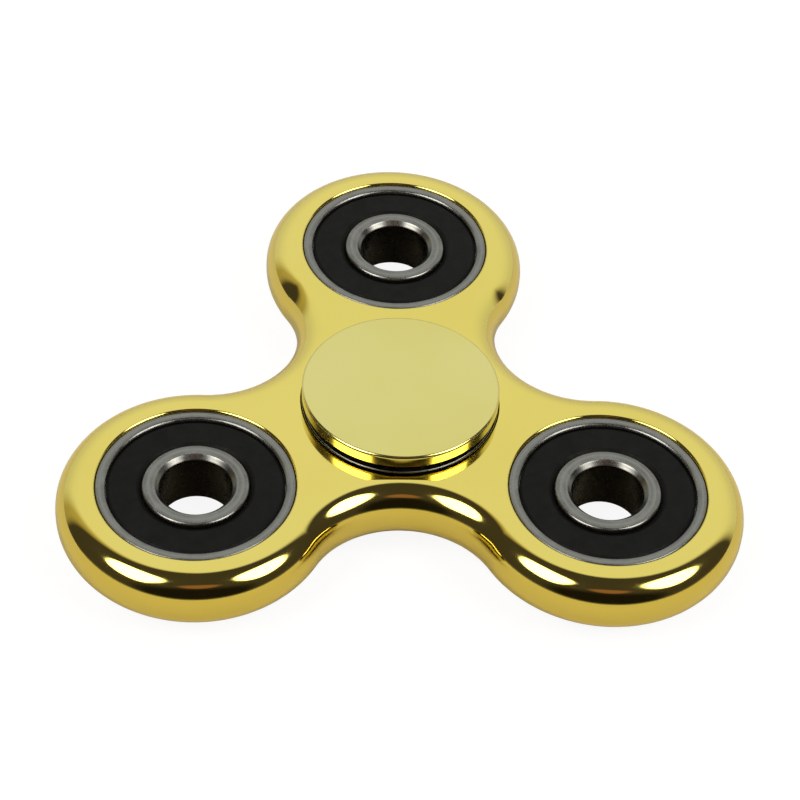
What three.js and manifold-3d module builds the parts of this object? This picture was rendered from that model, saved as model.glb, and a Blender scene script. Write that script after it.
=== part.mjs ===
// A gold plated fidget spinner with three round lobes, in millimetres, +Z up.
// The body spins on the middle one of four sealed ball bearings. Two round buttons, pressed into that
// bearing's inner ring from above and below, are held between finger and thumb. A bearing in each lobe
// is its weight, and its inner ring can be turned too.
// The origin is on the spin axis, on the lower button's flat face. One lobe points along +Y.
import * as THREE from 'three'
import { mergeVertices } from 'three/addons/utils/BufferGeometryUtils.js'
import Module from 'manifold-3d'

const wasm = await Module()
wasm.setup()

// Ball bearing, across: with these sizes it has the common 8 mm bore and 22 mm outer diameter.
const bearingBore = 8
const ringWall = 1.4355 // from the bore, or the outer face, to the bottom of the ball groove
const grooveDepth = 0.5
const ballDiameter = 3.969
const ballCount = 7
const ballGap = 0.08 // between a ball and its groove
const ringChamfer = 0.15
const boreChamfer = 0.55

// Ball bearing, along its axis: with these sizes it is 7 mm wide.
const pocketGap = 0.15 // between a ball and its cage
const cageThickness = 0.3
const cageWidth = 1.6
const cageSplit = 0.04 // between the two halves of a cage
const cageToSeal = 0.2655
const sealThickness = 0.5
const sealInset = 0.3 // below the faces of the rings
const sealLip = 0.25 // how much thinner a seal is beside the inner ring
const sealLedge = 0.8 // that a seal's edge rests on in the outer ring
const sealGap = 0.05 // around a seal's outer edge, and under it
const ledgeChamfer = 0.25 // on the outer ring's face, beside the seal
const lipGap = 0.1 // between a seal and the inner ring

// Body
const lobeCount = 3
const bearingFit = 0.05 // between a bearing and its hole
const bearingRecess = 0.2 // of a bearing's faces below the body's
const lobeWall = 4.4
const waistWall = 4.05 // between the middle hole and the hollow of each waist
const webBetweenHoles = 4.17
const edgeRounding = 3.3 // how far the rounded edge reaches in over the flat faces
const edgeBand = 0.4 // height of the straight band around the middle of the edge
const holeChamfer = 0.35

// Buttons
const buttonOverhang = 0.2 // past the middle bearing's outer ring
const buttonThickness = 1.55
const buttonLift = 0.8 // above the body's face
const buttonEdge = 0.35 // radius of its rounded rim
const buttonBevel = 0.15 // around its underside
const shoulderInset = 0.3 // of the shoulder that rests on the inner ring, from that ring's edge
const shoulderGap = 0.02
const stubFit = 0.05 // between a button's stub and the bore
const stubBevel = 0.3
const stubSplit = 0.4 // between the two buttons' stubs

// How finely curves are divided
const roundSteps = 28
const grooveSteps = 4
const pocketSteps = 5
const ballDetail = 1
const rimSteps = 4
const lobeSteps = 22
const waistSteps = 10
const edgeSteps = 5

const cutterOverlap = 1 // how far what cuts a hole passes the body's faces

// Sizes that follow from the ones above
const lobeAngle = (2 * Math.PI) / lobeCount
const ballRadius = ballDiameter / 2
const grooveRadius = ballRadius + ballGap
const boreRadius = bearingBore / 2
const pitchRadius = boreRadius + ringWall + grooveRadius
const bearingRadius = pitchRadius + grooveRadius + ringWall
const innerLand = pitchRadius - grooveRadius + grooveDepth
const outerLand = pitchRadius + grooveRadius - grooveDepth
const pocketRadius = ballRadius + pocketGap
const sealInnerFace = pocketRadius + cageThickness + cageToSeal
const sealOuterFace = sealInnerFace + sealThickness
const bearingHalfWidth = sealOuterFace + sealInset
const holeRadius = bearingRadius + bearingFit
const bodyHalfThickness = bearingHalfWidth + bearingRecess
const armLength = 2 * holeRadius + webBetweenHoles
const lobeRadius = holeRadius + lobeWall
const waistRadius = holeRadius + waistWall
const buttonRadius = bearingRadius + buttonOverhang
const buttonFace = bodyHalfThickness + buttonLift + buttonThickness

// Colours, as three.js numbers, with roughness and metalness
const gold = [0xd8ca75, 0.08, 1]
const ringSteel = [0x8e8f90, 0.28, 1]
const ballSteel = [0xb4b5b7, 0.12, 1]
const cageSteel = [0x9b9a96, 0.4, 1]
const sealRubber = [0x222120, 0.6, 0]

function named(name, geometry, [color, roughness, metalness]) {
  const mesh = new THREE.Mesh(geometry, new THREE.MeshStandardMaterial({ color, roughness, metalness }))
  mesh.name = name
  return mesh
}

// A closed outline of [radius, height] points, turned about the Z axis.
function turned(outline) {
  const points = [...outline, outline[0]].map(([radius, height]) => new THREE.Vector2(radius, height))
  return new THREE.LatheGeometry(points, roundSteps).rotateX(Math.PI / 2)
}

// Points of an arc about [x, y], with its end but without its start when open is true.
function arc([x, y], radius, start, end, steps, open = false) {
  const points = []
  for (let step = open ? 1 : 0; step <= steps; step += 1) {
    const angle = start + ((end - start) * step) / steps
    points.push([x + radius * Math.cos(angle), y + radius * Math.sin(angle)])
  }
  return points
}

function solidOf(geometry) {
  const bare = geometry.clone()
  bare.deleteAttribute('normal')
  bare.deleteAttribute('uv')
  const merged = mergeVertices(bare)
  const vertProperties = new Float32Array(merged.attributes.position.array)
  const triVerts = new Uint32Array(merged.index.array)
  return new wasm.Manifold(new wasm.Mesh({ numProp: 3, vertProperties, triVerts }))
}

function geometryOf(solid) {
  const { vertProperties, triVerts } = solid.getMesh()
  const geometry = new THREE.BufferGeometry()
  geometry.setAttribute('position', new THREE.BufferAttribute(vertProperties, 3))
  geometry.setIndex(new THREE.BufferAttribute(triVerts, 1))
  return geometry
}

// Half the angle that a groove's arc covers, from its bottom to the land beside it
const grooveSpread = Math.acos((grooveRadius - grooveDepth) / grooveRadius)

function innerRing() {
  const grooveStart = Math.PI + grooveSpread
  const grooveEnd = Math.PI - grooveSpread
  const groove = arc([pitchRadius, 0], grooveRadius, grooveStart, grooveEnd, grooveSteps)
  return turned([
    [boreRadius, -bearingHalfWidth + boreChamfer],
    [boreRadius + boreChamfer, -bearingHalfWidth],
    [innerLand, -bearingHalfWidth],
    ...groove,
    [innerLand, bearingHalfWidth],
    [boreRadius + boreChamfer, bearingHalfWidth],
    [boreRadius, bearingHalfWidth - boreChamfer],
  ])
}

// The outer ring has a ledge at each end, and a seal lies on each ledge.
function outerRing() {
  const groove = arc([pitchRadius, 0], grooveRadius, grooveSpread, -grooveSpread, grooveSteps)
  const ledge = sealInnerFace - sealGap
  const ledgeRadius = outerLand + sealLedge
  return turned([
    [outerLand, -ledge],
    [ledgeRadius, -ledge],
    [ledgeRadius, -bearingHalfWidth + ledgeChamfer],
    [ledgeRadius + ledgeChamfer, -bearingHalfWidth],
    [bearingRadius - ringChamfer, -bearingHalfWidth],
    [bearingRadius, -bearingHalfWidth + ringChamfer],
    [bearingRadius, bearingHalfWidth - ringChamfer],
    [bearingRadius - ringChamfer, bearingHalfWidth],
    [ledgeRadius + ledgeChamfer, bearingHalfWidth],
    [ledgeRadius, bearingHalfWidth - ledgeChamfer],
    [ledgeRadius, ledge],
    [outerLand, ledge],
    ...groove,
  ])
}

// A seal is a flat rubber ring with a thinner lip beside the inner ring.
function seal() {
  const inner = innerLand + lipGap
  const outer = outerLand + sealLedge - sealGap
  return turned([
    [inner, 0],
    [outer, 0],
    [outer, sealThickness],
    [inner + sealLip, sealThickness],
    [inner, sealThickness - sealLip],
  ])
}

// Half of a pressed cage: a flat ribbon that arches over each ball. Its arches are straight across.
function cageHalf() {
  const half = cageSplit / 2
  const topRadius = pocketRadius + cageThickness
  const flatTop = half + cageThickness
  const underStart = Math.asin(half / pocketRadius)
  const overStart = Math.asin(flatTop / topRadius)
  const under = arc([0, 0], pocketRadius, underStart, Math.PI - underStart, pocketSteps)
  const over = arc([0, 0], topRadius, overStart, Math.PI - overStart, pocketSteps)
  const radii = [pitchRadius - cageWidth / 2, pitchRadius + cageWidth / 2]
  const pocketAngle = (2 * Math.PI) / ballCount

  // Each section is a ring of four corners: inner under, outer under, outer over, inner over.
  const corners = []
  const addSection = (underAngles, overAngles, underHeight, overHeight) => {
    corners.push([radii[0], underAngles[0], underHeight])
    corners.push([radii[1], underAngles[1], underHeight])
    corners.push([radii[1], overAngles[1], overHeight])
    corners.push([radii[0], overAngles[0], overHeight])
  }
  for (let pocket = 0; pocket < ballCount; pocket += 1) {
    const middle = Math.PI / 2 + pocket * pocketAngle
    const anglesAt = (offset) => radii.map((radius) => middle - Math.asin(offset / radius))
    const edge = middle - pocketAngle / 2
    addSection([edge, edge], [edge, edge], half, flatTop)
    under.forEach(([offset, height], i) => {
      addSection(anglesAt(offset), anglesAt(over[i][0]), height, over[i][1])
    })
  }

  const positions = corners.flatMap(([radius, angle, height]) => [
    radius * Math.cos(angle),
    radius * Math.sin(angle),
    height,
  ])
  const index = []
  for (let first = 0; first < corners.length; first += 4) {
    const next = (first + 4) % corners.length
    for (let side = 0; side < 4; side += 1) {
      const a = first + side
      const b = first + ((side + 1) % 4)
      const c = next + ((side + 1) % 4)
      const d = next + side
      index.push(a, c, b, a, d, c)
    }
  }
  const geometry = new THREE.BufferGeometry()
  geometry.setAttribute('position', new THREE.Float32BufferAttribute(positions, 3))
  geometry.setIndex(index)
  return geometry
}

// A whole bearing about the group's Z axis, with its first ball towards the group's +Y.
function bearing(name) {
  const group = new THREE.Group()
  const upperSeal = named(`${name}_seal_upper`, seal(), sealRubber)
  const lowerSeal = named(`${name}_seal_lower`, seal(), sealRubber)
  upperSeal.position.z = sealInnerFace
  lowerSeal.position.z = -sealInnerFace
  lowerSeal.rotation.y = Math.PI
  const upperCage = named(`${name}_cage_upper`, cageHalf(), cageSteel)
  const lowerCage = named(`${name}_cage_lower`, cageHalf(), cageSteel)
  lowerCage.rotation.y = Math.PI
  group.add(named(`${name}_outer_ring`, outerRing(), ringSteel))
  group.add(named(`${name}_inner_ring`, innerRing(), ringSteel))
  group.add(upperSeal, lowerSeal, upperCage, lowerCage)
  for (let i = 0; i < ballCount; i += 1) {
    const angle = Math.PI / 2 + (i * 2 * Math.PI) / ballCount
    const round = new THREE.IcosahedronGeometry(ballRadius, ballDetail)
    const ball = named(`${name}_ball_${i + 1}`, round, ballSteel)
    ball.position.set(pitchRadius * Math.cos(angle), pitchRadius * Math.sin(angle), 0)
    group.add(ball)
  }
  return group
}

// The outline is three lobes joined by hollow waists, each an arc that touches both lobes beside it.
function bodyOutline() {
  const waistFillet =
    (waistRadius ** 2 + armLength ** 2 - waistRadius * armLength - lobeRadius ** 2) /
    (armLength + 2 * lobeRadius - 2 * waistRadius)
  const filletDistance = waistRadius + waistFillet
  const outline = []
  for (let i = 0; i < lobeCount; i += 1) {
    const lobeWay = Math.PI / 2 + i * lobeAngle
    const waistWay = lobeWay + lobeAngle / 2
    const lobe = [armLength * Math.cos(lobeWay), armLength * Math.sin(lobeWay)]
    const fillet = [filletDistance * Math.cos(waistWay), filletDistance * Math.sin(waistWay)]
    const touch = Math.atan2(fillet[1] - lobe[1], fillet[0] - lobe[0]) - lobeWay
    const spread = (touch + 2 * Math.PI) % (2 * Math.PI)
    const turn = spread - lobeAngle / 2
    const filletStart = waistWay + Math.PI + turn
    outline.push(...arc(lobe, lobeRadius, lobeWay - spread, lobeWay + spread, lobeSteps, true))
    outline.push(...arc(fillet, waistFillet, filletStart, waistWay + Math.PI - turn, waistSteps, true))
  }
  return outline.map(([x, y]) => new THREE.Vector2(x, y))
}

// What is cut away for one bearing: a round hole with a chamfer at each face.
function holeCutter() {
  const past = bodyHalfThickness + cutterOverlap
  const flare = holeRadius + holeChamfer + cutterOverlap
  return turned([
    [0, -past],
    [flare, -past],
    [holeRadius, -bodyHalfThickness + holeChamfer],
    [holeRadius, bodyHalfThickness - holeChamfer],
    [flare, past],
    [0, past],
  ])
}

function body() {
  const blank = new THREE.ExtrudeGeometry(new THREE.Shape(bodyOutline()), {
    depth: edgeBand,
    bevelThickness: bodyHalfThickness - edgeBand / 2,
    bevelSize: edgeRounding,
    bevelOffset: -edgeRounding,
    bevelSegments: edgeSteps,
  }).translate(0, 0, -edgeBand / 2)
  let solid = solidOf(blank).subtract(solidOf(holeCutter()))
  for (let i = 0; i < lobeCount; i += 1) {
    const cutter = holeCutter().translate(0, armLength, 0).rotateZ(i * lobeAngle)
    solid = solid.subtract(solidOf(cutter))
  }
  return geometryOf(solid)
}

// A button: a disc with a rounded rim, a shoulder on the inner ring and a stub in its bore.
function button() {
  const underside = bodyHalfThickness + buttonLift
  const seat = bearingHalfWidth + shoulderGap
  const shoulder = innerLand - shoulderInset
  const stub = boreRadius - stubFit
  const stubEnd = stubSplit / 2
  const rimCentre = [buttonRadius - buttonEdge, buttonFace - buttonEdge]
  return turned([
    [0, stubEnd],
    [stub - stubBevel, stubEnd],
    [stub, stubEnd + stubBevel],
    [stub, seat],
    [shoulder, seat],
    [shoulder, underside],
    [buttonRadius - buttonBevel, underside],
    [buttonRadius, underside + buttonBevel],
    ...arc(rimCentre, buttonEdge, 0, Math.PI / 2, rimSteps),
    [0, buttonFace],
  ])
}

// Everything is placed about the middle of the body's thickness.
const group = new THREE.Group()
group.position.z = buttonFace
group.add(named('three_lobed_body', body(), gold))
group.add(named('button_upper', button(), gold))
const lowerButton = named('button_lower', button(), gold)
lowerButton.rotation.y = Math.PI
group.add(lowerButton)
group.add(bearing('centre'))
for (const [i, name] of ['lobe_a', 'lobe_b', 'lobe_c'].entries()) {
  const lobeBearing = bearing(name)
  lobeBearing.position.set(0, armLength, 0).applyAxisAngle(new THREE.Vector3(0, 0, 1), i * lobeAngle)
  lobeBearing.rotation.z = i * lobeAngle
  group.add(lobeBearing)
}

export default group
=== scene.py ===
# A gold plated fidget spinner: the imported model's nodes get smooth, finished pieces. Metres, +Z up.
import math

import bmesh
import bpy
from mathutils import Matrix, Vector
from mathutils.geometry import tessellate_polygon


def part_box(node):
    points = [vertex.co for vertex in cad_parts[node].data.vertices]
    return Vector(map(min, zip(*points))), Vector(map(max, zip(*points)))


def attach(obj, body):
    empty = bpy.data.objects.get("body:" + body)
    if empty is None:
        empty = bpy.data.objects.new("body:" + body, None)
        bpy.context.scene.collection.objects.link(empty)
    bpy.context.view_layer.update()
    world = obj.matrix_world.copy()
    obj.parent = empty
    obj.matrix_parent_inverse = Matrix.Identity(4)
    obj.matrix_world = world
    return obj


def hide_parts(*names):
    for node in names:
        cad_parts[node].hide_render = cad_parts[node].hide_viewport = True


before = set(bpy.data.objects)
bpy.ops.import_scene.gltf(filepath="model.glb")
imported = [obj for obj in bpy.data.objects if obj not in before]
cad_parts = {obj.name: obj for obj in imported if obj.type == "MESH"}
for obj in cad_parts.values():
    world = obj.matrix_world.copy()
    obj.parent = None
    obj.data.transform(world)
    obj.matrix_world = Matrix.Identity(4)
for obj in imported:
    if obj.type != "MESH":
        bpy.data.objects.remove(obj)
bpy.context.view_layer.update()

MM = 0.001
LOBES = 3
BEARINGS = ("centre", "lobe_a", "lobe_b", "lobe_c")
BALLS = range(1, 8)

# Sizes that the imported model's boxes give
body_low, body_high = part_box("three_lobed_body")
ring_low, ring_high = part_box("centre_outer_ring")
inner_low, inner_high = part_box("centre_inner_ring")
seal_low, seal_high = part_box("centre_seal_upper")
ball_low, ball_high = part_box("centre_ball_1")
cage_low, cage_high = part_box("centre_cage_upper")
button_low, button_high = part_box("button_upper")
MIDDLE = (body_low.z + body_high.z) / 2
BODY_HALF = (body_high.z - body_low.z) / 2
BEARING_HALF = (ring_high.z - ring_low.z) / 2
BEARING_RADIUS = (ring_high.y - ring_low.y) / 2
INNER_LAND = (inner_high.y - inner_low.y) / 2
SEAL_RADIUS = (seal_high.y - seal_low.y) / 2
SEAL_FACE = seal_high.z - MIDDLE
SEAL_UNDER = seal_low.z - MIDDLE
BALL_RADIUS = (ball_high.z - ball_low.z) / 2
PITCH_RADIUS = (ball_low.y + ball_high.y) / 2
CAGE_OUTER = (cage_high.y - cage_low.y) / 2
BUTTON_RADIUS = (button_high.y - button_low.y) / 2
BUTTON_FACE = button_high.z - MIDDLE
ARM = sum(corner.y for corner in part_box("lobe_a_outer_ring")) / 2
LOBE_RADIUS = body_high.y - ARM

# Sizes that the boxes don't show, as the solids have them
BEARING_FIT = 0.05 * MM # between a bearing and its hole
WAIST_WALL = 4.05 * MM # between the middle hole and the hollow of each waist
EDGE_ROUNDING = 3.3 * MM # how far the rounded edge reaches in over the flat faces
EDGE_BAND = 0.4 * MM # height of the straight band around the middle of the edge
BORE_RADIUS = 4 * MM
BORE_CHAMFER = 0.55 * MM
GROOVE_DEPTH = 0.5 * MM
BALL_GAP = 0.08 * MM # between a ball and its groove
SEAL_GAP = 0.05 * MM # around a seal's outer edge, and under it
CAGE_THICKNESS = 0.3 * MM
CAGE_SPLIT = 0.02 * MM # between the middle of a bearing and each half of its cage
POCKET_GAP = 0.15 * MM # between a ball and its cage
BUTTON_LIFT = 0.8 * MM # above the body's face
BUTTON_EDGE = 0.35 * MM # radius of its rounded rim
BUTTON_BEVEL = 0.15 * MM # around its underside
SHOULDER_INSET = 0.3 * MM # of the shoulder that rests on the inner ring, from that ring's edge
SHOULDER_GAP = 0.02 * MM
STUB_FIT = 0.05 * MM # between a button's stub and the bore
STUB_BEVEL = 0.3 * MM
STUB_END = 0.2 * MM # above the middle

# Small edges, which are rounder here than the solids' plain chamfers and corners
HOLE_ROUNDING = 0.35 * MM
RING_ROUNDING = 0.15 * MM # outside an outer ring
LEDGE_ROUNDING = 0.4 * MM # of an outer ring, beside the seal
LAND_ROUNDING = 0.32 * MM # of an inner ring, beside the seal
BORE_EASING = 0.2 * MM # at both ends of the bore's chamfer
SEAL_EASING = 0.15 * MM # above both slopes of a seal
SEAL_LIP_GAP = 0.06 * MM # between a seal and the inner ring
SEAL_LIP_WIDTH = 0.6 * MM
SEAL_LIP_DROP = 0.4 * MM
SEAL_RIM_WIDTH = 0.35 * MM
SEAL_RIM_DROP = 0.22 * MM

# Sizes that follow from these
HOLE_RADIUS = BEARING_RADIUS + BEARING_FIT
WAIST_RADIUS = HOLE_RADIUS + WAIST_WALL
GROOVE_RADIUS = BALL_RADIUS + BALL_GAP
OUTER_LAND = PITCH_RADIUS + GROOVE_RADIUS - GROOVE_DEPTH
LEDGE_RADIUS = SEAL_RADIUS + SEAL_GAP
LEDGE_HEIGHT = SEAL_UNDER - SEAL_GAP
SEAL_LIP = INNER_LAND + SEAL_LIP_GAP
POCKET_RADIUS = BALL_RADIUS + POCKET_GAP
BUTTON_UNDERSIDE = BODY_HALF + BUTTON_LIFT
SHOULDER_RADIUS = INNER_LAND - SHOULDER_INSET
SHOULDER_FOOT = BEARING_HALF + SHOULDER_GAP
STUB_RADIUS = BORE_RADIUS - STUB_FIT

# How finely the curves are divided
ROUND_STEPS = 144
LOBE_STEPS = 150
WAIST_STEPS = 72
EDGE_STEPS = 20
HOLE_STEPS = 6
RIM_STEPS = 18
GROOVE_STEPS = 16
POCKET_STEPS = 18
EASING_STEPS = 5
BALL_SUBDIVISIONS = 4
SMOOTH_ANGLE = math.radians(25) # surfaces that bend less than this are shaded as one
ON_AXIS = 1e-9 # a point of a section with a smaller radius is on the axis


# --- Ways to make a piece

def arc(centre, radius, start, end, steps):
    """Points from angle start to angle end about centre, in degrees."""
    angles = [math.radians(start + (end - start) * i / steps) for i in range(steps + 1)]
    return [(centre[0] + radius * math.cos(a), centre[1] + radius * math.sin(a)) for a in angles]


def full_turn():
    """The angles of the steps once around the Z axis."""
    return [2 * math.pi * step / ROUND_STEPS for step in range(ROUND_STEPS)]


def spun(outward, upward, turn):
    """A point or a direction of a section, turned about the Z axis."""
    return (outward * math.cos(turn), outward * math.sin(turn), upward)


def rounded(outline, radius, corners):
    """The outline with the corners at these indices rounded."""
    made = []
    for i, point in enumerate(outline):
        if i not in corners:
            made.append(point)
            continue
        here = Vector(point)
        before = (Vector(outline[i - 1]) - here).normalized()
        after = (Vector(outline[(i + 1) % len(outline)]) - here).normalized()
        half = before.angle(after) / 2
        reach = radius / math.tan(half)
        centre = here + (before + after).normalized() * (radius / math.sin(half))
        first, last = here + before * reach, here + after * reach
        for step in range(EASING_STEPS + 1):
            share = step / EASING_STEPS
            way = (first - centre).normalized() * (1 - share) + (last - centre).normalized() * share
            made.append(tuple(centre + way.normalized() * radius))
    return made


def segment_normals(outline):
    """For each segment of a closed outline, the normals at its two ends, smooth where it bends little."""
    count = len(outline)
    ways = [Vector(outline[(i + 1) % count]) - Vector(outline[i]) for i in range(count)]
    flat = [Vector((way.y, -way.x)).normalized() for way in ways]
    found = []
    for i in range(count):
        ends = []
        for j in (i - 1, (i + 1) % count):
            smooth = flat[i].angle(flat[j]) < SMOOTH_ANGLE
            mixed = flat[i] * ways[i].length + flat[j] * ways[j].length if smooth else flat[i]
            ends.append(mixed.normalized())
        found.append(ends)
    return found


def add_object(name, data, location=(0, 0, 0)):
    made = bpy.data.objects.new(name, data)
    made.location = location
    bpy.context.collection.objects.link(made)
    return made


class Surface:
    """Vertices and faces, with a normal for each corner of each face."""

    def __init__(self):
        self.vertices = []
        self.faces = []
        self.normals = []

    def face(self, corners, normals):
        self.faces.append(corners)
        self.normals.extend(normals)

    def flat_face(self, loops, side):
        """A level face inside the first loop and around the other loops. It looks up where side is 1."""
        joined = [vertex for loop in loops for vertex in loop]
        points = [Vector(self.vertices[vertex]) for vertex in joined]
        for a, b, c in tessellate_polygon([[Vector(self.vertices[v]) for v in loop] for loop in loops]):
            turn = (points[b] - points[a]).cross(points[c] - points[a])
            corners = (a, b, c) if turn.z * side > 0 else (a, c, b)
            self.face([joined[corner] for corner in corners], [(0, 0, side)] * 3)

    def add(self, name, location):
        """The object that this surface makes."""
        mesh = bpy.data.meshes.new(name)
        mesh.from_pydata(self.vertices, [], self.faces)
        mesh.shade_smooth()
        mesh.normals_split_custom_set(self.normals)
        return add_object(name, mesh, location)


def turned(name, outline, location):
    """A closed outline of (radius, height) points, anticlockwise, turned about the Z axis."""
    surface = Surface()
    turns = full_turn()
    rings = []
    for radius, height in outline:
        first = len(surface.vertices)
        if radius < ON_AXIS:
            rings.append([first] * ROUND_STEPS)
            surface.vertices.append((0, 0, height))
        else:
            rings.append(range(first, first + ROUND_STEPS))
            surface.vertices.extend(spun(radius, height, turn) for turn in turns)
    for i, (start, end) in enumerate(segment_normals(outline)):
        j = (i + 1) % len(outline)
        if outline[i][0] < ON_AXIS and outline[j][0] < ON_AXIS:
            continue
        for k in range(ROUND_STEPS):
            m = (k + 1) % ROUND_STEPS
            corners = {}
            for ring, normal, t in ((i, start, k), (i, start, m), (j, end, m), (j, end, k)):
                corners.setdefault(rings[ring][t], spun(normal.x, normal.y, turns[t]))
            surface.face(list(corners), corners.values())
    return surface.add(name, location)


def place(name):
    """The middle of a bearing."""
    low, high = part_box(f"{name}_inner_ring")
    return Vector(((low.x + high.x) / 2, (low.y + high.y) / 2, MIDDLE))


def finish_piece(piece, body, slot, material, *nodes):
    """Gives a piece its material and its body. It stands for these nodes. The slot is not used."""
    piece.data.materials.append(material)
    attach(piece, body)
    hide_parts(*nodes)


# --- The body: three lobes joined by hollow waists, with a full rounded edge and four round holes

def body_outline():
    """Points of the outline seen from above, anticlockwise, each with its outward way."""
    fillet = (WAIST_RADIUS**2 + ARM**2 - WAIST_RADIUS * ARM - LOBE_RADIUS**2) / (
        ARM + 2 * LOBE_RADIUS - 2 * WAIST_RADIUS
    )
    reach = WAIST_RADIUS + fillet
    outline = []
    for i in range(LOBES):
        lobe_way = 90 + i * 360 / LOBES
        waist_way = lobe_way + 180 / LOBES
        lobe = Vector((ARM, 0)) @ Matrix.Rotation(-math.radians(lobe_way), 2)
        hollow = Vector((reach, 0)) @ Matrix.Rotation(-math.radians(waist_way), 2)
        touch = math.degrees(math.atan2(*(hollow - lobe).yx))
        spread = (touch - lobe_way) % 360
        turn = spread - 180 / LOBES
        lobe_arc = arc(lobe, LOBE_RADIUS, lobe_way - spread, lobe_way + spread, LOBE_STEPS)
        waist_arc = arc(hollow, fillet, waist_way + 180 + turn, waist_way + 180 - turn, WAIST_STEPS)
        outline.extend((Vector(p), (Vector(p) - lobe).normalized()) for p in lobe_arc[1:])
        outline.extend((Vector(p), (hollow - Vector(p)).normalized()) for p in waist_arc[1:])
    return outline


def edge_rows():
    """(inset, height, outward share, upward share) up the rounded edge, from flat face to flat face."""
    rise = BODY_HALF - EDGE_BAND / 2
    upper = []
    for step in range(EDGE_STEPS + 1):
        t = math.pi / 2 * step / EDGE_STEPS
        normal = Vector((math.cos(t) / EDGE_ROUNDING, math.sin(t) / rise)).normalized()
        upper.append((EDGE_ROUNDING * (1 - math.cos(t)), EDGE_BAND / 2 + rise * math.sin(t), *normal))
    lower = [(inset, -height, out, -up) for inset, height, out, up in reversed(upper)]
    return lower + upper


def hole_rows():
    """(radius, height, outward share, upward share) down a hole's wall, from flat face to flat face."""
    centre = (HOLE_RADIUS + HOLE_ROUNDING, BODY_HALF - HOLE_ROUNDING)
    upper = []
    for step, (radius, height) in enumerate(arc(centre, HOLE_ROUNDING, 90, 180, HOLE_STEPS)):
        t = math.pi / 2 * step / HOLE_STEPS
        upper.append((radius, height, -math.sin(t), math.cos(t)))
    lower = [(radius, -height, out, -up) for radius, height, out, up in reversed(upper)]
    return upper + lower


def add_edge(surface):
    """Adds the rounded edge, and returns the loops of vertices at its upper and lower end."""
    outline = body_outline()
    rows = edge_rows()
    count = len(outline)
    for inset, height, _, _ in rows:
        surface.vertices.extend((*(point - way * inset), height) for point, way in outline)
    for j in range(len(rows) - 1):
        for i in range(count):
            n = (i + 1) % count
            corners = ((j, i), (j, n), (j + 1, n), (j + 1, i))
            ways = [(outline[k][1], *rows[row][2:]) for row, k in corners]
            normals = [(way.x * out, way.y * out, up) for way, out, up in ways]
            surface.face([row * count + k for row, k in corners], normals)
    last = (len(rows) - 1) * count
    return range(last, last + count), range(count)


def add_hole(surface, centre):
    """Adds the wall of a hole, and returns the loops of vertices at its upper and lower end."""
    rows = hole_rows()
    turns = full_turn()
    first = len(surface.vertices)
    for radius, height, _, _ in rows:
        for x, y, z in (spun(radius, height, turn) for turn in turns):
            surface.vertices.append((centre.x + x, centre.y + y, z))
    for j in range(len(rows) - 1):
        for k in range(ROUND_STEPS):
            m = (k + 1) % ROUND_STEPS
            corners = ((j + 1, k), (j, k), (j, m), (j + 1, m))
            normals = [spun(*rows[row][2:], turns[t]) for row, t in corners]
            surface.face([first + row * ROUND_STEPS + t for row, t in corners], normals)
    last = first + (len(rows) - 1) * ROUND_STEPS
    return range(first, first + ROUND_STEPS), range(last, last + ROUND_STEPS)


def body_piece():
    surface = Surface()
    ends = [add_edge(surface)] + [add_hole(surface, place(name)) for name in BEARINGS]
    upper, lower = zip(*ends)
    surface.flat_face(upper, 1)
    surface.flat_face(lower, -1)
    return surface.add("gold_body", (0, 0, MIDDLE))


# --- The sections of the buttons and of the bearings' rings and seals

def button_outline():
    """A round button, the shoulder that rests on the inner ring, and the stub in its bore."""
    rim_centre = (BUTTON_RADIUS - BUTTON_EDGE, BUTTON_FACE - BUTTON_EDGE)
    outline = [
        (0, STUB_END),
        (STUB_RADIUS - STUB_BEVEL, STUB_END),
        (STUB_RADIUS, STUB_END + STUB_BEVEL),
        (STUB_RADIUS, SHOULDER_FOOT),
        (SHOULDER_RADIUS, SHOULDER_FOOT),
        (SHOULDER_RADIUS, BUTTON_UNDERSIDE),
        (BUTTON_RADIUS, BUTTON_UNDERSIDE),
        *arc(rim_centre, BUTTON_EDGE, 0, 90, RIM_STEPS),
        (0, BUTTON_FACE),
    ]
    underside_edge = 6
    return rounded(outline, BUTTON_BEVEL, [underside_edge])


def outer_ring_outline():
    """A ring with the ball groove inside, and a ledge for a seal on both sides of it."""
    spread = math.degrees(math.acos((OUTER_LAND - PITCH_RADIUS) / GROOVE_RADIUS))
    outline = [
        (LEDGE_RADIUS, -BEARING_HALF),
        (BEARING_RADIUS, -BEARING_HALF),
        (BEARING_RADIUS, BEARING_HALF),
        (LEDGE_RADIUS, BEARING_HALF),
        (LEDGE_RADIUS, LEDGE_HEIGHT),
        (OUTER_LAND, LEDGE_HEIGHT),
        *arc((PITCH_RADIUS, 0), GROOVE_RADIUS, spread, -spread, GROOVE_STEPS),
        (OUTER_LAND, -LEDGE_HEIGHT),
        (LEDGE_RADIUS, -LEDGE_HEIGHT),
    ]
    outline = rounded(outline, RING_ROUNDING, [1, 2])
    upper_edge = 3 + 2 * EASING_STEPS
    return rounded(outline, LEDGE_ROUNDING, [0, upper_edge])


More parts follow.
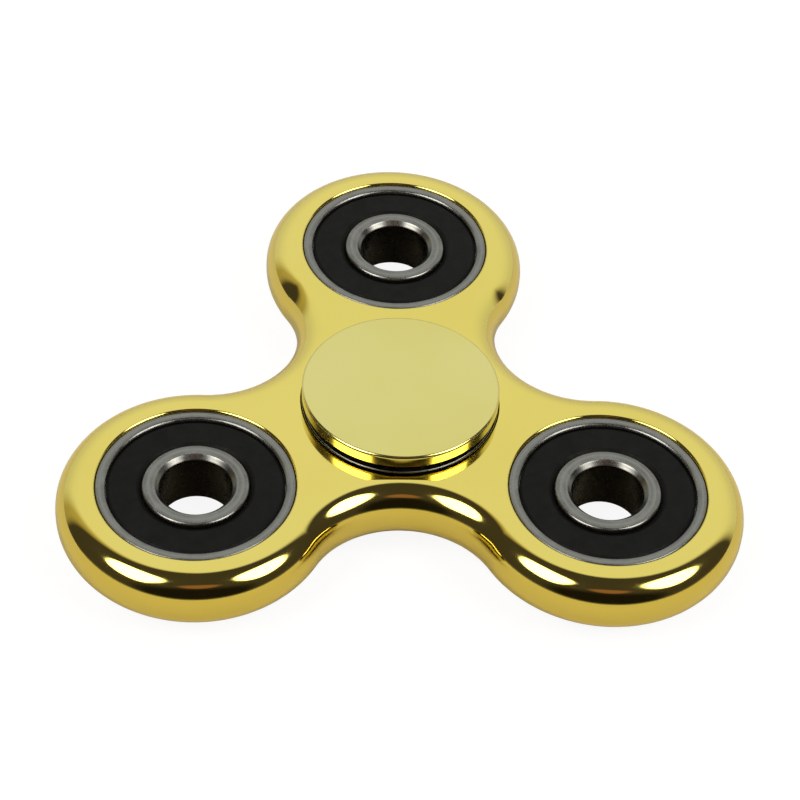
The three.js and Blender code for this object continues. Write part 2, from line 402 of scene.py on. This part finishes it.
def inner_ring_outline():
    """A ring with the ball groove outside, and a wide chamfer at both ends of its bore."""
    spread = math.degrees(math.acos((PITCH_RADIUS - INNER_LAND) / GROOVE_RADIUS))
    face_edge = BORE_RADIUS + BORE_CHAMFER
    wall_edge = BEARING_HALF - BORE_CHAMFER
    outline = [
        (BORE_RADIUS, -wall_edge),
        (face_edge, -BEARING_HALF),
        (INNER_LAND, -BEARING_HALF),
        *arc((PITCH_RADIUS, 0), GROOVE_RADIUS, 180 + spread, 180 - spread, GROOVE_STEPS),
        (INNER_LAND, BEARING_HALF),
        (face_edge, BEARING_HALF),
        (BORE_RADIUS, wall_edge),
    ]
    count = len(outline)
    outline = rounded(outline, BORE_EASING, [0, 1, count - 2, count - 1])
    lower_edge = 2 + 2 * EASING_STEPS
    return rounded(outline, LAND_ROUNDING, [lower_edge, len(outline) - 1 - lower_edge])


def seal_outline():
    """A flat ring that slopes down at its rim and beside the inner ring."""
    outline = [
        (SEAL_LIP, SEAL_UNDER),
        (SEAL_RADIUS, SEAL_UNDER),
        (SEAL_RADIUS, SEAL_FACE - SEAL_RIM_DROP),
        (SEAL_RADIUS - SEAL_RIM_WIDTH, SEAL_FACE),
        (SEAL_LIP + SEAL_LIP_WIDTH, SEAL_FACE),
        (SEAL_LIP, SEAL_FACE - SEAL_LIP_DROP),
    ]
    return rounded(outline, SEAL_EASING, [3, 4])


# --- The balls and their cages

def ball_angle(ball):
    """Where a ball is around its bearing. The first is along +Y."""
    return math.pi / 2 + (ball - 1) * 2 * math.pi / len(BALLS)


def cage_sections():
    """The underside and the top of a ribbon across one arch, as (place along it, height) from the ball's
    middle. The first section has no place along it: it is halfway to the ball before."""
    top = POCKET_RADIUS + CAGE_THICKNESS
    flat_top = CAGE_SPLIT + CAGE_THICKNESS
    under_angle = math.degrees(math.asin(CAGE_SPLIT / POCKET_RADIUS))
    over_angle = math.degrees(math.asin(flat_top / top))
    under = arc((0, 0), POCKET_RADIUS, under_angle, 180 - under_angle, POCKET_STEPS)
    over = arc((0, 0), top, over_angle, 180 - over_angle, POCKET_STEPS)
    return [((None, CAGE_SPLIT), (None, flat_top))] + list(zip(under, over))


def cage_piece(name, location):
    """Half a ribbon cage, with an arch over each ball."""
    width = CAGE_OUTER - PITCH_RADIUS
    inside, outside = PITCH_RADIUS - width, PITCH_RADIUS + width
    halfway = math.pi / len(BALLS)
    vertices, faces = [], []
    for ball in BALLS:
        for under, over in cage_sections():
            around = ((inside, under), (outside, under), (outside, over), (inside, over))
            for radius, (offset, height) in around:
                back = halfway if offset is None else math.asin(offset / radius)
                vertices.append(spun(radius, height, ball_angle(ball) - back))
    count = len(vertices)
    for first in range(0, count, 4):
        second = (first + 4) % count
        for side in range(4):
            after = (side + 1) % 4
            faces.append([first + side, second + side, second + after, first + after])
    mesh = bpy.data.meshes.new(name)
    mesh.from_pydata(vertices, [], faces)
    mesh.shade_smooth()
    mesh.set_sharp_from_angle(angle=SMOOTH_ANGLE)
    return add_object(name, mesh, location)


def balls_piece(name, location):
    """The balls of one bearing, which go round together."""
    drawn = bmesh.new()
    for ball in BALLS:
        spot = Matrix.Translation(spun(PITCH_RADIUS, 0, ball_angle(ball)))
        bmesh.ops.create_icosphere(drawn, subdivisions=BALL_SUBDIVISIONS, radius=BALL_RADIUS, matrix=spot)
    mesh = bpy.data.meshes.new(name)
    drawn.to_mesh(mesh)
    drawn.free()
    mesh.shade_smooth()
    return add_object(name, mesh, location)


# --- Materials

class Nodes:
    """A new material and short ways to add nodes to it."""

    def __init__(self, name, metallic=0.0):
        self.material = bpy.data.materials.new(name)
        self.material.use_nodes = True
        self.tree = self.material.node_tree
        self.shader = self.tree.nodes["Principled BSDF"]
        self.shader.inputs["Metallic"].default_value = metallic

    def add(self, kind, inputs=None, **settings):
        node = self.tree.nodes.new(kind)
        for key, value in settings.items():
            setattr(node, key, value)
        for key, value in (inputs or {}).items():
            if isinstance(value, bpy.types.NodeSocket):
                self.tree.links.new(value, node.inputs[key])
            else:
                node.inputs[key].default_value = value
        return node

    def noise(self, scale, detail=2.0, roughness=0.5):
        """Noise over the piece's own space, with features about 1 / scale metres across."""
        where = self.add("ShaderNodeTexCoord").outputs["Object"]
        inputs = {"Vector": where, "Scale": scale, "Detail": detail, "Roughness": roughness}
        return self.add("ShaderNodeTexNoise", inputs).outputs["Fac"]

    def distance(self):
        """How far a point is from the piece's own axis."""
        where = self.add("ShaderNodeTexCoord").outputs["Object"]
        flat = self.add("ShaderNodeVectorMath", {0: where, 1: (1, 1, 0)}, operation="MULTIPLY")
        return self.add("ShaderNodeVectorMath", {0: flat.outputs[0]}, operation="LENGTH").outputs["Value"]

    def rings(self, scale, detail=3.0):
        """Noise that changes only with the distance from the piece's own axis, as turning marks do."""
        inputs = {"W": self.distance(), "Scale": scale, "Detail": detail}
        return self.add("ShaderNodeTexNoise", inputs, noise_dimensions="1D").outputs["Fac"]

    def spread(self, value, low, high, start=0.3, end=0.7):
        """The value mapped from start..end to low..high."""
        inputs = {"Value": value, "From Min": start, "From Max": end, "To Min": low, "To Max": high}
        return self.add("ShaderNodeMapRange", inputs).outputs["Result"]

    def mix(self, share, first, second):
        """From the first colour to the second, by share: either can be a socket."""
        node = self.add("ShaderNodeMix", {"Factor": share}, data_type="RGBA")
        for socket, color in zip((s for s in node.inputs if s.type == "RGBA"), (first, second)):
            if isinstance(color, bpy.types.NodeSocket):
                self.tree.links.new(color, socket)
            else:
                socket.default_value = (*color, 1)
        return next(s for s in node.outputs if s.type == "RGBA")

    def bump(self, height, depth, under=None):
        """The normal of a relief this deep, over the one under it."""
        inputs = {"Height": height, "Distance": depth, "Strength": 1.0}
        if under:
            inputs["Normal"] = under
        return self.add("ShaderNodeBump", inputs).outputs["Normal"]

    def wear(self, color, roughness, normal=None):
        """The finished material."""
        self.tree.links.new(color, self.shader.inputs["Base Color"])
        self.tree.links.new(roughness, self.shader.inputs["Roughness"])
        if normal:
            self.tree.links.new(normal, self.shader.inputs["Normal"])
        return self.material


def gold_plating(name, colors, roughness):
    """Mirror plating over a cast piece that isn't quite even, with faint smudges."""
    nodes = Nodes(name, metallic=1.0)
    color = nodes.mix(nodes.spread(nodes.noise(scale=60), 0, 1), *colors)
    smudges = nodes.spread(nodes.noise(scale=180, detail=5, roughness=0.6), *roughness)
    waves = nodes.bump(nodes.noise(scale=220, detail=1), 0.0035 * MM)
    ripples = nodes.bump(nodes.noise(scale=1400), 0.0006 * MM, waves)
    return nodes.wear(color, smudges, ripples)


def ring_steel():
    """Ground steel, with stains, fine marks and paler bands that run around it, and the bore painted dark as
    painted shade.
    """
    nodes = Nodes("ring_steel", metallic=1.0)
    marks = nodes.rings(scale=9000)
    bands = nodes.spread(nodes.rings(scale=2600, detail=1.0), 0, 0.75, start=0.4, end=0.65)
    stains = nodes.spread(nodes.noise(scale=500, detail=8, roughness=0.75), 0, 1)
    # painted shade: the wall of the bore is painted a dark brown, for the shade inside the hole
    bore = nodes.spread(nodes.distance(), 1, 0, start=BORE_RADIUS + 0.05 * MM, end=BORE_RADIUS + 0.15 * MM)
    ground = nodes.mix(nodes.spread(marks, 0, 1), (0.105, 0.103, 0.099), (0.15, 0.148, 0.141))
    banded = nodes.mix(bands, ground, (0.25, 0.246, 0.238))
    stained = nodes.mix(stains, banded, (0.24, 0.236, 0.225))
    # the bore's painted shade, over the steel's own colour
    color = nodes.mix(bore, stained, (0.06, 0.055, 0.045))
    roughness = nodes.spread(nodes.noise(scale=900, detail=4), 0.22, 0.34)
    grain = nodes.bump(nodes.noise(scale=5000, detail=3), 0.0008 * MM)
    return nodes.wear(color, roughness, nodes.bump(marks, 0.001 * MM, grain))


def seal_rubber():
    """Black rubber with a fine grain."""
    nodes = Nodes("seal_rubber")
    nodes.shader.inputs["Specular IOR Level"].default_value = 0.09
    tone = nodes.spread(nodes.noise(scale=500, detail=4), 0, 1)
    color = nodes.mix(tone, (0.0035, 0.0034, 0.0033), (0.0065, 0.0063, 0.006))
    roughness = nodes.spread(nodes.noise(scale=1500, detail=3), 0.4, 0.55)
    grain = nodes.bump(nodes.noise(scale=9000, detail=3), 0.008 * MM)
    return nodes.wear(color, roughness, grain)


def ball_steel():
    """Polished steel."""
    nodes = Nodes("ball_steel", metallic=1.0)
    color = nodes.mix(nodes.noise(scale=300), (0.56, 0.57, 0.58), (0.62, 0.63, 0.64))
    return nodes.wear(color, nodes.spread(nodes.noise(scale=2500, detail=4), 0.06, 0.13))


def cage_steel():
    """Pressed sheet steel."""
    nodes = Nodes("cage_steel", metallic=1.0)
    grain = nodes.noise(scale=4000, detail=4)
    color = nodes.mix(nodes.spread(grain, 0, 1), (0.33, 0.32, 0.30), (0.47, 0.46, 0.44))
    roughness = nodes.spread(nodes.noise(scale=1200, detail=4), 0.3, 0.5)
    return nodes.wear(color, roughness, nodes.bump(grain, 0.008 * MM))


# --- The object

GOLD = gold_plating("gold_plating", ((0.775, 0.64, 0.175), (0.74, 0.61, 0.15)), (0.05, 0.1))
BUTTON_GOLD = gold_plating("button_plating", ((0.705, 0.635, 0.25), (0.675, 0.6, 0.2)), (0.1, 0.17))
RING, RUBBER, BALL, CAGE = ring_steel(), seal_rubber(), ball_steel(), cage_steel()
SIDES = (("upper", 0), ("lower", math.pi)) # and how far its pieces are turned over

finish_piece(body_piece(), "spinner", "gold_plating", GOLD, "three_lobed_body")
for side, turn in SIDES:
    button = turned(f"gold_button_{side}", button_outline(), (0, 0, MIDDLE))
    button.rotation_euler.x = turn
    finish_piece(button, "hub", "gold_plating", BUTTON_GOLD, f"button_{side}")

for bearing in BEARINGS:
    middle = place(bearing)
    ring_body = "hub" if bearing == "centre" else f"{bearing}_ring"
    outer = turned(f"{bearing}_outer_race", outer_ring_outline(), middle)
    finish_piece(outer, "spinner", "ring_steel", RING, f"{bearing}_outer_ring")
    inner = turned(f"{bearing}_inner_race", inner_ring_outline(), middle)
    finish_piece(inner, ring_body, "ring_steel", RING, f"{bearing}_inner_ring")
    balls = balls_piece(f"{bearing}_balls_set", middle)
    nodes_of_balls = [f"{bearing}_ball_{ball}" for ball in BALLS]
    finish_piece(balls, f"{bearing}_balls", "ball_steel", BALL, *nodes_of_balls)
    for side, turn in SIDES:
        seal = turned(f"{bearing}_rubber_seal_{side}", seal_outline(), middle)
        seal.rotation_euler.x = turn
        finish_piece(seal, "spinner", "seal_rubber", RUBBER, f"{bearing}_seal_{side}")
        cage = cage_piece(f"{bearing}_cage_half_{side}", middle)
        cage.rotation_euler.y = turn
        finish_piece(cage, f"{bearing}_balls", "cage_steel", CAGE, f"{bearing}_cage_{side}")


# --- Floor and camera

FLOOR_SIZE = 6.0
FLOOR_DROP = 0.02 * MM # below the lower button
FLOOR_PAINTED_GOLD_LIGHT = (0.69, 0.61, 0.385) # as the object mirrors it: warm, a painted pool of the light that the gold throws on the floor in front of it
FLOOR_COLOR_BEHIND = (0.63, 0.6, 0.58)
FLOOR_FADE = (-60 * MM, 80 * MM) # along Y, from the painted gold light in front to the plain colour behind
FLOOR_GLOW = 0.91 # as the camera sees it: this much white, and this share of the light that falls on it
FLOOR_SHADE = 0.12

CAMERA_DISTANCE = 289.5 * MM
CAMERA_ELEVATION = math.radians(45.69)
CAMERA_AZIMUTH = math.radians(4.14)
CAMERA_ROLL = math.radians(3.85)
CAMERA_LENS = 114.6
CAMERA_SENSOR = 36.0
CAMERA_CLIP = (0.01, 20.0)


def floor_paint():
    """Almost white with a faint shadow where the camera sees it, and a pale colour where the object does,
    with a painted pool of warm gold light in front.
    """
    nodes = Nodes("pale_floor")
    where = nodes.add("ShaderNodeTexCoord").outputs["Object"]
    ahead = nodes.add("ShaderNodeSeparateXYZ", {0: where}).outputs["Y"]
    # painted light: the floor in front is tinted warm, standing in for the light that the gold throws on it
    paint = nodes.mix(nodes.spread(ahead, 0, 1, *FLOOR_FADE), FLOOR_PAINTED_GOLD_LIGHT, FLOOR_COLOR_BEHIND)
    nodes.tree.links.new(paint, nodes.shader.inputs["Base Color"])
    nodes.shader.inputs["Roughness"].default_value = 0.9
    nodes.shader.inputs["Specular IOR Level"].default_value = 0.0
    shadow = nodes.add("ShaderNodeBsdfDiffuse", {"Color": (FLOOR_SHADE, FLOOR_SHADE, FLOOR_SHADE, 1)})
    glow = nodes.add("ShaderNodeEmission", {"Color": (1, 1, 1, 1), "Strength": FLOOR_GLOW})
    seen = nodes.add("ShaderNodeAddShader", {0: shadow.outputs[0], 1: glow.outputs[0]})
    path = nodes.add("ShaderNodeLightPath")
    shader = nodes.add("ShaderNodeMixShader", {0: path.outputs["Is Camera Ray"]})
    nodes.tree.links.new(nodes.shader.outputs[0], shader.inputs[1])
    nodes.tree.links.new(seen.outputs[0], shader.inputs[2])
    nodes.tree.links.new(shader.outputs[0], nodes.tree.nodes["Material Output"].inputs["Surface"])
    return nodes.material


def floor():
    half = FLOOR_SIZE / 2
    corners = [(-half, -half, 0), (half, -half, 0), (half, half, 0), (-half, half, 0)]
    mesh = bpy.data.meshes.new("floor")
    mesh.from_pydata(corners, [], [(0, 1, 2, 3)])
    mesh.materials.append(floor_paint())
    made = add_object("floor", mesh, (0, 0, -FLOOR_DROP))


def camera():
    data = bpy.data.cameras.new("camera")
    data.lens = CAMERA_LENS
    data.sensor_width = CAMERA_SENSOR
    data.clip_start, data.clip_end = CAMERA_CLIP
    made = add_object("camera", data)
    target = Vector((0, 0, MIDDLE + BODY_HALF))
    flat = math.cos(CAMERA_ELEVATION)
    left, ahead = flat * math.sin(CAMERA_AZIMUTH), flat * math.cos(CAMERA_AZIMUTH)
    way = Vector((-left, -ahead, math.sin(CAMERA_ELEVATION)))
    look = (-way).to_track_quat("-Z", "Y").to_matrix().to_4x4()
    made.matrix_world = (
        Matrix.Translation(target + way * CAMERA_DISTANCE) @ look @ Matrix.Rotation(CAMERA_ROLL, 4, "Z")
    )
    bpy.context.scene.camera = made


# --- Light, by the direction that it comes from. A panel faces the object. Its azimuth, from +Y towards +X,
# and its elevation are in degrees. Its width and height are half its size at distance 1.

BACKDROP = dict(azimuth=8, elevation=0, width=2.0, height=4.5, roundness=1.5, softness=0.3)
WIDE_BACKDROP = dict(azimuth=2, elevation=0, width=3.15, height=4.7, roundness=1.35, softness=0.25)
LEFT_SOFTBOX = dict(azimuth=-122, elevation=49, width=0.29, height=0.32, roundness=2.6, softness=0.13)
RIGHT_SOFTBOX = dict(azimuth=117, elevation=47, width=0.28, height=0.32, roundness=2.2, softness=0.13)
LAMP = dict(azimuth=176, elevation=48, width=0.21, height=0.11, roundness=2, softness=0.3)
DARK_CORNER = dict(azimuth=180, elevation=15, width=0.9, height=0.5, roundness=2, softness=0.3)
PANEL_FRONT = 0.01 # a panel shows only where a direction points at least this much towards it

BACKDROP_SHADE = 0.24 # less light at the foot of the backdrops
BACKDROP_SHADE_RISE = (0.0, 0.75)
DARK_CORNER_SHADE = 0.8 # less of the room's light there
HAZE_RISE = (-0.02, 0.1) # the haze lies close to the horizon
HAZE_REACH = (-0.3, 0.1) # and in front of the object

# Linear colours, where 1 is white
BACKDROP_COLOR = (0.41, 0.51, 0.7)
WIDE_BACKDROP_COLOR = (0.5, 0.435, 0.19)
SOFTBOX_COLOR = (6.0, 5.9, 5.4)
LAMP_COLOR = (0.27, 0.11, 0.06)
ROOM_COLOR = (0.06, 0.052, 0.05)
HAZE_COLOR = (0.3, 0.29, 0.2)
SEEN_COLOR = (1, 1, 1) # what the camera sees behind the object


class Sky:
    """World nodes that light the scene by direction."""

    def __init__(self, tree):
        self.tree = tree
        self.way = tree.nodes.new("ShaderNodeTexCoord").outputs["Generated"]

    def math(self, operation, first, second=0.0):
        node = self.tree.nodes.new("ShaderNodeMath")
        node.operation = operation
        for socket, value in zip(node.inputs, (first, second)):
            if isinstance(value, bpy.types.NodeSocket):
                self.tree.links.new(value, socket)
            else:
                socket.default_value = value
        return node.outputs[0]

    def along(self, axis):
        """How far a direction points along this axis."""
        node = self.tree.nodes.new("ShaderNodeVectorMath")
        node.operation = "DOT_PRODUCT"
        self.tree.links.new(self.way, node.inputs[0])
        node.inputs[1].default_value = axis
        return node.outputs["Value"]

    def fade(self, value, start, end):
        """1 below start and 0 above end, smoothly."""
        node = self.tree.nodes.new("ShaderNodeMapRange")
        node.interpolation_type = "SMOOTHSTEP"
        self.tree.links.new(value, node.inputs["Value"])
        for key, number in (("From Min", start), ("From Max", end), ("To Min", 1.0), ("To Max", 0.0)):
            node.inputs[key].default_value = number
        return node.outputs["Result"]

    def panel(self, azimuth, elevation, width, height, roundness, softness):
        """1 on a flat panel and 0 past it. It is an ellipse where roundness is 2."""
        azimuth, elevation = math.radians(azimuth), math.radians(elevation)
        flat = Vector((math.sin(azimuth), math.cos(azimuth), 0))
        towards = flat * math.cos(elevation) + Vector((0, 0, math.sin(elevation)))
        right = Vector((flat.y, -flat.x, 0))
        depth = self.along(towards)
        shares = []
        for axis, size in ((right, width), (right.cross(towards), height)):
            share = self.math("DIVIDE", self.along(axis), self.math("MULTIPLY", depth, size))
            shares.append(self.math("POWER", self.math("ABSOLUTE", share), roundness))
        reach = self.math("POWER", self.math("ADD", *shares), 1 / roundness)
        inside = self.fade(reach, 1 - softness, 1 + softness)
        return self.math("MULTIPLY", inside, self.math("GREATER_THAN", depth, PANEL_FRONT))

    def tinted(self, amount, color):
        node = self.tree.nodes.new("ShaderNodeVectorMath")
        node.operation = "SCALE"
        node.inputs[0].default_value = color
        self.tree.links.new(amount, node.inputs["Scale"])
        return node.outputs["Vector"]

    def sum(self, colors):
        total = colors[0]
        for color in colors[1:]:
            node = self.tree.nodes.new("ShaderNodeVectorMath")
            node.operation = "ADD"
            self.tree.links.new(total, node.inputs[0])
            self.tree.links.new(color, node.inputs[1])
            total = node.outputs["Vector"]
        return total

    def pick(self, share, first, second):
        """From the first colour, a socket, to the second, by share."""
        node = self.tree.nodes.new("ShaderNodeMix")
        node.data_type = "VECTOR"
        slots = [socket for socket in node.inputs if socket.type == "VECTOR" and socket.enabled]
        self.tree.links.new(share, node.inputs["Factor"])
        self.tree.links.new(first, slots[-2])
        slots[-1].default_value = second
        return next(socket for socket in node.outputs if socket.type == "VECTOR")


def surroundings():
    """Two backdrops behind the object, two softboxes in front of it to the left and right, and a dim room."""
    world = bpy.data.worlds.new("studio")
    bpy.context.scene.world = world
    bpy.context.scene.view_settings.view_transform = "Standard"
    world.use_nodes = True
    sky = Sky(world.node_tree)
    up, back = sky.along((0, 0, 1)), sky.along((0, 1, 0))
    shade = sky.math("MULTIPLY", sky.fade(up, *BACKDROP_SHADE_RISE), BACKDROP_SHADE)
    lit = sky.math("SUBTRACT", 1.0, shade)
    dark = sky.math("MULTIPLY", sky.panel(**DARK_CORNER), DARK_CORNER_SHADE)
    lights = (
        (sky.math("SUBTRACT", 1.0, dark), ROOM_COLOR),
        (sky.math("MULTIPLY", sky.panel(**BACKDROP), lit), BACKDROP_COLOR),
        (sky.math("MULTIPLY", sky.panel(**WIDE_BACKDROP), lit), WIDE_BACKDROP_COLOR),
        (sky.math("ADD", sky.panel(**LEFT_SOFTBOX), sky.panel(**RIGHT_SOFTBOX)), SOFTBOX_COLOR),
        (sky.panel(**LAMP), LAMP_COLOR),
        (sky.math("MULTIPLY", sky.fade(up, *HAZE_RISE), sky.fade(back, *HAZE_REACH)), HAZE_COLOR),
    )
    light = sky.sum([sky.tinted(*pair) for pair in lights])
    path = world.node_tree.nodes.new("ShaderNodeLightPath")
    color = sky.pick(path.outputs["Is Camera Ray"], light, SEEN_COLOR)
    background = world.node_tree.nodes["Background"]
    world.node_tree.links.new(color, background.inputs["Color"])


floor()
camera()
surroundings()
